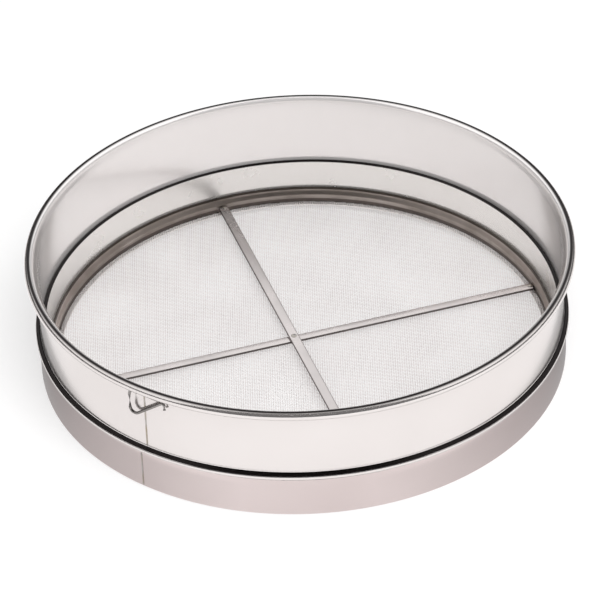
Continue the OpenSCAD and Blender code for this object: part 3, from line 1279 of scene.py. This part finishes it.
@dataclass
class Cross:
    """The two bars over the cloth, the weld where they cross and the tacks at their ends."""

    sizes: DrumSizes
    tree: SweepTree
    width: float = 5.6
    thickness: float = 1.6
    bar_points: int = 9
    bar_sides: int = 24
    angle: float = 16.6
    off: float = 4.0
    end_gap: float = 0.2
    weld_d: float = 3.4
    weld_h: float = 0.35
    tack_r: float = 1.5
    tack_h: float = 0.7
    ripple: float = 0.04
    ripples: int = 5
    bead_sides: int = 32
    bead_rings: int = 8
    bead_edge_deg: float = 60.0

    def ring_face(self, z: float) -> float:
        """Finds the radius of the clamp ring's inner face.

        Args:
            z: The height.

        Returns:
            The radius there.
        """
        s = self.sizes
        rib_z, rib_h = s.rib
        rib = s.clamp_rib * max(0.0, 1 - abs(z - rib_z) / rib_h)
        return s.taper_r(z, s.clamp_off + s.clamp_t) - rib

    def bar(self, name: str, node: str, angle: float, z: float) -> None:
        """Builds one bar.

        Args:
            name: The piece's name.
            node: The node that it stands for.
            angle: The bar's direction, in degrees from X.
            z: Height of its underside.
        """
        t = self.thickness
        reach = min(self.ring_face(z), self.ring_face(z + t)) - self.end_gap
        half = math.sqrt(reach**2 - (self.off + self.width / 2) ** 2)
        steps = np.linspace(-half, half, self.bar_points)
        path = [spin(angle) @ Vector((x, self.off, z + t / 2)) for x in steps]
        piece = self.tree.sweep(name, path, self.width - t, t, self.bar_sides, BAR_FINISH)
        hand_over(piece, Body.DRUM, Slot.BAR, BAR_FINISH, node)

    def bead(self, at: Vector, radius: float, height: float) -> list[Vector]:
        """Makes a low round bead of weld with a rippled edge.

        Args:
            at: The middle of its foot.
            radius: The foot's radius.
            height: The bead's height.

        Returns:
            The points of its rings from the foot up, and its top.
        """
        points = []
        for ring in range(self.bead_rings):
            rise = math.pi / 2 * ring / self.bead_rings
            for side in range(self.bead_sides):
                a = math.tau * side / self.bead_sides
                wave = (1 + self.ripple * math.cos(self.ripples * a)) / (1 + self.ripple)
                out = radius * math.cos(rise) * wave
                points.append(Vector((out * math.cos(a), out * math.sin(a), height * math.sin(rise))))
        points.append(Vector((0, 0, height)))
        return [(p + at) * MM for p in points]

    def welds(self, name: str, node: str, beads: Sequence[list[Vector]]) -> None:
        """Joins beads of weld into one piece.

        Args:
            name: The piece's name.
            node: The node that it stands for.
            beads: The beads' points.
        """
        n = self.bead_sides
        faces = []
        for number, points in enumerate(beads):
            foot = number * len(points)
            top = foot + len(points) - 1
            faces.append([foot + i for i in range(n)])
            for i, j in zip(range(n), [*range(1, n), 0]):
                faces += [[r + i, r + j, r + n + j, r + n + i] for r in range(foot, top - n, n)]
                faces.append([top - n + i, top - n + j, top])
        mesh = bpy.data.meshes.new(name)
        mesh.from_pydata([p for points in beads for p in points], [], faces)
        mesh = soften(face_outwards(mesh), self.bead_edge_deg)
        hand_over(object_of(name, mesh), Body.DRUM, Slot.WELD, WELD_FINISH, node)

    def build(self) -> None:
        """Builds and dresses the bars and their welds."""
        low_z = self.sizes.mesh_top
        high_z = low_z + self.thickness
        top_z = high_z + self.thickness
        self.bar("lower_cross_bar", "cross_bar_lower", self.angle, low_z)
        self.bar("upper_cross_bar", "cross_bar_upper", self.angle + 90, high_z)
        crossing = spin(self.angle) @ Vector((-self.off, self.off, top_z))
        self.welds("crossing_weld", "cross_weld", [self.bead(crossing, self.weld_d / 2, self.weld_h)])
        tacks = []
        for angle, top in ((self.angle, high_z), (self.angle + 90, top_z)):
            reach = math.sqrt((self.ring_face(top) - self.tack_r - self.sizes.fit) ** 2 - self.off**2)
            tacks += [self.bead(spin(angle) @ Vector((side * reach, self.off, top)), self.tack_r, self.tack_h)
                      for side in (-1, 1)]
        self.welds("end_tacks", "bar_end_tacks", tacks)


@dataclass
class HangingLoop:
    """The bent wire that the sieve hangs by."""

    sizes: DrumSizes
    tree: SweepTree
    wire_d: float = 1.6
    wire_sides: int = 20
    reach: float = 18.5
    rise: float = 1.6
    side: float = 17.9
    tail: float = 4.8
    tail_gap: float = 0.21
    foot: float = 7.0
    gap: float = 0.65
    corner_r: float = 3.0
    tail_r: float = 1.2
    neck_r: float = 0.9
    lead: float = 4.0

    def tail_out(self) -> float:
        """Works out where the tail turns down.

        Returns:
            How far out it turns, for the wire to pass its own neck.
        """
        step = self.wire_d + self.tail_gap
        high = self.side - self.rise
        run = math.sqrt(self.reach**2 + high**2 - step**2)
        return step * (step * self.reach + high * run) / (high**2 - step**2)

    def path(self) -> list[Vector]:
        """Works out the wire's middle line.

        Returns:
            Its points, from the foot inside the wall to the end of the tail.
        """
        s, bend_r = self.sizes, self.neck_r
        turn_x = self.tail_out()
        out_x = s.wall_mid + s.half_t + self.gap + self.wire_d / 2
        in_x = s.wall_in - self.gap - self.wire_d / 2
        plane = rounded(
            [(0, 0), (-self.reach, self.rise), (-self.reach, self.rise - self.side), (turn_x, 0),
             (turn_x, -self.tail)],
            [0, self.corner_r, self.corner_r, self.tail_r, 0],
        )
        corners = [(self.foot, in_x), (0, in_x), (0, out_x), (-self.lead, out_x)]
        neck = rounded(corners, [0, bend_r, bend_r, 0])[:-1]
        local = [Vector((x, y, 0)) for y, x in neck]
        local += [Vector((out_x, y, z)) for y, z in plane if y < -bend_r or z < -bend_r or y > 0]
        lift = Vector((0, 0, s.drum_h - s.loop_drop))
        return [spin(s.loop_az) @ p + lift for p in local]

    def build(self) -> None:
        """Builds and dresses the loop."""
        piece = self.tree.sweep("wire_loop", self.path(), 0.0, self.wire_d, self.wire_sides, WIRE_FINISH)
        hand_over(piece, Body.LOOP, Slot.WIRE, WIRE_FINISH, "hanging_loop")


# Studio


@dataclass(frozen=True)
class PhotoView:
    """The camera, as fitted to the photograph, in rim radii round the middle of the rim.

    Attributes:
        focal_px: Focal length in pixels of the frame.
        frame_px: Width of the frame.
        elevation: How far the camera looks down, in degrees.
        roll: Turn of the frame, in degrees.
        distance: Distance of the camera.
        aside: Where the rim's middle lies to the right of the view's axis.
        below: Where the rim's middle lies below the view's axis.
        sensor: Width of the sensor, in millimetres.
        sight: How far the camera sees, in metres.
    """

    focal_px: float = 4413.6
    frame_px: float = 600.0
    elevation: float = 36.25
    roll: float = -2.37
    distance: float = 16.0
    aside: float = -0.00185
    below: float = -0.1823
    sensor: float = 36.0
    sight: float = 100.0

    def build(self, sizes: DrumSizes) -> None:
        """Makes the camera.

        Args:
            sizes: The drum's sizes.
        """
        c, s = math.cos(math.radians(self.roll)), math.sin(math.radians(self.roll))
        ce, se = math.cos(math.radians(self.elevation)), math.sin(math.radians(self.elevation))
        right = Vector((c, s * se, s * ce))
        down = Vector((s, -c * se, -c * ce))
        ahead = Vector((0, ce, -se))
        middle = Vector((0, 0, sizes.bead_z * MM))
        away = (right * self.aside + down * self.below + ahead * self.distance) * (sizes.rim_r * MM)
        data = bpy.data.cameras.new("photo_view")
        data.sensor_width = self.sensor
        data.lens = self.focal_px / self.frame_px * self.sensor
        data.clip_end = self.sight
        camera = object_of("photo_view", data)
        axes = Matrix((right, -down, -ahead)).transposed()
        camera.matrix_world = Matrix.Translation(middle - away) @ axes.to_4x4()
        bpy.context.scene.camera = camera


def bare_nodes(owner: Material | bpy.types.World) -> Wiring:
    """Gives a material or a world an empty node tree.

    Args:
        owner: The material or world.

    Returns:
        The tree's wiring.
    """
    owner.use_nodes = True
    owner.node_tree.nodes.clear()
    return Wiring(owner.node_tree)


@dataclass(frozen=True)
class Flag:
    """A dark studio card that only gloss sees, bent round the object.

    Attributes:
        name: The card's name.
        azimuth: Direction of its middle, in degrees from X.
        spread: How far it reaches round, in degrees.
        near: Distance from the axis and height of one edge, in metres.
        far: Distance from the axis and height of the other edge, in metres.
        tone: Its brightness.
        soft: Part of its spread over which each end fades to nothing.
    """

    name: str
    azimuth: float
    spread: float
    near: Point
    far: Point
    tone: float
    soft: float = 0.0

    @classmethod
    def upright(
            cls, name: str, azimuth: float, spread: float, low: float, high: float, tone: float) -> "Flag":
        """Makes an upright card from the elevations of its edges.

        Args:
            name: The card's name.
            azimuth: Direction of its middle, in degrees from X.
            spread: How far it reaches round, in degrees.
            low: Elevation of its lower edge, in degrees.
            high: Elevation of its upper edge, in degrees.
            tone: Its brightness.

        Returns:
            The card.
        """
        edges = [(CARD_DISTANCE, math.tan(math.radians(e)) * CARD_DISTANCE) for e in (low, high)]
        return cls(name, azimuth, spread, edges[0], edges[1], tone)

    def build(self, steps: int = 48) -> None:
        """Makes the card.

        Args:
            steps: Steps round the card.
        """
        half = self.spread / 2
        turns = np.radians(np.linspace(self.azimuth - half, self.azimuth + half, steps + 1))
        verts = [(r * math.cos(a), r * math.sin(a), z) for a in turns for r, z in (self.near, self.far)]
        faces = [(2 * i, 2 * i + 2, 2 * i + 3, 2 * i + 1) for i in range(steps)]
        mesh = bpy.data.meshes.new(self.name)
        mesh.from_pydata(verts, [], faces)
        part = np.repeat(np.minimum(np.arange(steps + 1), np.arange(steps, -1, -1)) / steps, 2)
        full = np.clip(part / self.soft, 0, 1) if self.soft else np.ones(len(part))
        mesh.attributes.new("full", "FLOAT", "POINT").data.foreach_set("value", full.astype(np.float32))
        card = object_of(self.name, mesh)
        material = bpy.data.materials.new(self.name)
        w = bare_nodes(material)
        shown = w.node("ShaderNodeAttribute", attribute_name="full").outputs["Fac"]
        glow = w.first("ShaderNodeEmission", {"Strength": self.tone})
        clear = w.first("ShaderNodeBsdfTransparent")
        both = w.first("ShaderNodeMixShader", {0: shown, 1: clear, 2: glow})
        w.node("ShaderNodeOutputMaterial", {"Surface": both})
        mesh.materials.append(material)
        for rays in ("camera", "diffuse", "shadow", "transmission"):
            setattr(card, f"visible_{rays}", False)


@dataclass(frozen=True)
class Studio:
    """The floor, the world, the lamp and the dark cards."""

    floor_r: float = 8.0
    floor_sides: int = 96
    floor_tone: float = 0.55
    floor_glow: float = 0.5
    world_light: float = 0.6
    lamp_place: Place = (0.5, -1.4, 2.0)
    lamp_size: float = 1.6
    lamp_watts: float = 42.0
    flags: tuple[Flag, ...] = (
        Flag.upright("camera_side_card", 270, 100, -4, 80, 0.02),
        Flag.upright("back_card", 90, 150, 0, 24, 0.03),
        Flag.upright("left_card", 180, 80, -2, 22, 0.03),
        Flag.upright("right_card", 0, 80, -2, 22, 0.03),
        Flag("floor_card", 90, 220, (0.9, 0.0006), (2.9, 0.0006), 0.03),
        # Painted shadow: the two foot cards are dark patches on the floor, seen only in reflections, that
        # stand for the drum's shadow beside its foot.
        Flag("left_foot_painted_shadow", 180, 150, (0.145, 0.0006), (0.17, 0.0006), 0.4, 0.45),
        Flag("right_foot_painted_shadow", 0, 150, (0.145, 0.0006), (0.17, 0.0006), 0.4, 0.45),
    )

    def seen(self, w: Wiring) -> NodeSocket:
        """Tells apart the rays that see the background.

        Args:
            w: The tree's wiring.

        Returns:
            1 for the rays of the camera and of gloss.
        """
        path = w.node("ShaderNodeLightPath").outputs
        gloss = w.math("MAXIMUM", path["Is Glossy Ray"], path["Is Transmission Ray"])
        return w.math("MAXIMUM", path["Is Camera Ray"], gloss)

    def floor(self) -> None:
        """Makes the pale floor, which keeps the object's shadow."""
        work = bmesh.new()
        bmesh.ops.create_circle(work, cap_ends=True, radius=self.floor_r, segments=self.floor_sides)
        mesh = mesh_of("floor", work)
        material = bpy.data.materials.new("pale_floor")
        w = bare_nodes(material)
        matt = w.first("ShaderNodeBsdfDiffuse", {"Color": (*[self.floor_tone] * 3, 1)})
        glow = w.first("ShaderNodeEmission", {"Strength": w.math("MULTIPLY", self.seen(w), self.floor_glow)})
        w.node("ShaderNodeOutputMaterial", {"Surface": w.first("ShaderNodeAddShader", {0: matt, 1: glow})})
        mesh.materials.append(material)
        object_of("floor", mesh)

    def world(self) -> None:
        """Makes the world: plain light, and white where it is seen."""
        world = bpy.data.worlds.new("studio")
        w = bare_nodes(world)
        strength = w.ramp(self.seen(w), self.world_light, 1.0)
        light = w.first("ShaderNodeBackground", {"Color": (1, 1, 1, 1), "Strength": strength})
        w.node("ShaderNodeOutputWorld", {"Surface": light})
        bpy.context.scene.world = world

    def lamp(self) -> None:
        """Makes the soft lamp, which looks at the object."""
        data = bpy.data.lights.new("key_lamp", "AREA")
        data.size = self.lamp_size
        data.energy = self.lamp_watts
        lamp = object_of("key_lamp", data)
        lamp.location = self.lamp_place
        lamp.rotation_euler = (-Vector(self.lamp_place)).to_track_quat("-Z", "Y").to_euler()
        lamp.visible_glossy = False

    def build(self) -> None:
        """Builds the studio."""
        bpy.context.scene.view_settings.view_transform = "Standard"
        self.world()
        self.floor()
        self.lamp()
        for flag in self.flags:
            flag.build()


def main() -> None:
    """Builds the sub-assemblies in order."""
    logging.basicConfig(level=logging.INFO, format="%(message)s")
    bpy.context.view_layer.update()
    sizes = DrumSizes.from_frame()
    PhotoView().build(sizes)
    Studio().build()
    tree = SweepTree()
    Hoops(sizes).build()
    SieveCloth(sizes).build()
    Cross(sizes, tree).build()
    HangingLoop(sizes, tree).build()


if __name__ == "__main__":
    main()
